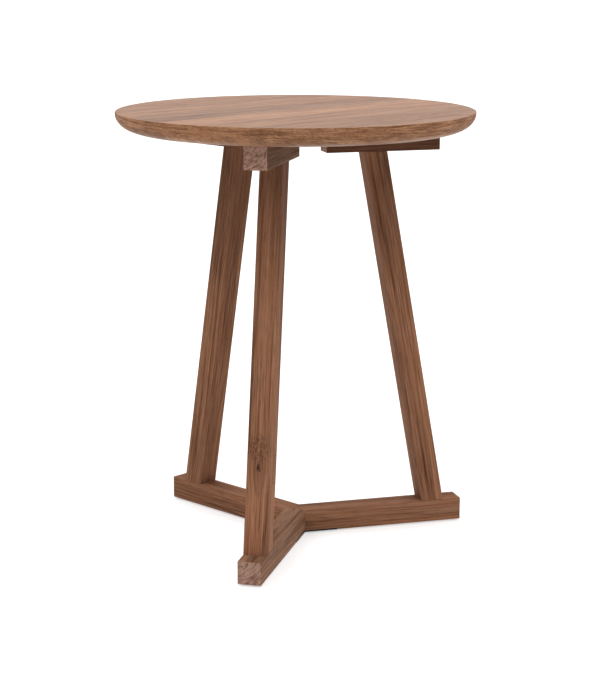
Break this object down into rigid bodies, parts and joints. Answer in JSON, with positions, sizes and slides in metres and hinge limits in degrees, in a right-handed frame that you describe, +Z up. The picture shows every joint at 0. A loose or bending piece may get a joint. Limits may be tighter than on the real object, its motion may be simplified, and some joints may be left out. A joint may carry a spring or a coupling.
{
  "type": "side table",
  "caption": "Round solid-wood side table: a fixed, softly undercut top on a tripod base of feet, inward-leaning legs and bearers that meet in a mitred hub.",
  "frame": {"origin": "on the floor, under the middle of the top, at the level of the glides' undersides", "axes": "+Z up along the axis of the round top; the front arm points along -Y, the right arm 30 degrees and the left arm 150 degrees from +X"},
  "size_m": [0.46, 0.46, 0.562],
  "materials": {
    "top_wood": "oiled, satin",
    "base_wood": "oiled, satin",
    "dowel_wood": "plain beech",
    "black_steel": "matt black powder coat",
    "black_screw": "black oxide",
    "zinc_steel": "bright zinc",
    "glide_plastic": "matt nylon"
  },
  "bodies": {
    "root": {"top_stave_1": "top_wood", "top_stave_2": "top_wood", "top_stave_3": "top_wood", "top_stave_4": "top_wood", "top_stave_5": "top_wood", "top_stave_6": "top_wood", "top_stave_7": "top_wood", "top_stave_8": "top_wood", "bearer_front": "base_wood", "bearer_right": "base_wood", "bearer_left": "base_wood", "leg_front": "base_wood", "leg_right": "base_wood", "leg_left": "base_wood", "foot_front": "base_wood", "foot_right": "base_wood", "foot_left": "base_wood", "hub_plate": "black_steel", "hub_plate_screws": "black_screw", "hub_dowels": "dowel_wood", "leg_foot_dowels": "dowel_wood", "leg_bearer_dowels": "dowel_wood", "top_screws": "zinc_steel", "top_screw_washers": "zinc_steel", "foot_glides": "glide_plastic", "glide_nails": "zinc_steel"}
  },
  "joints": []
}
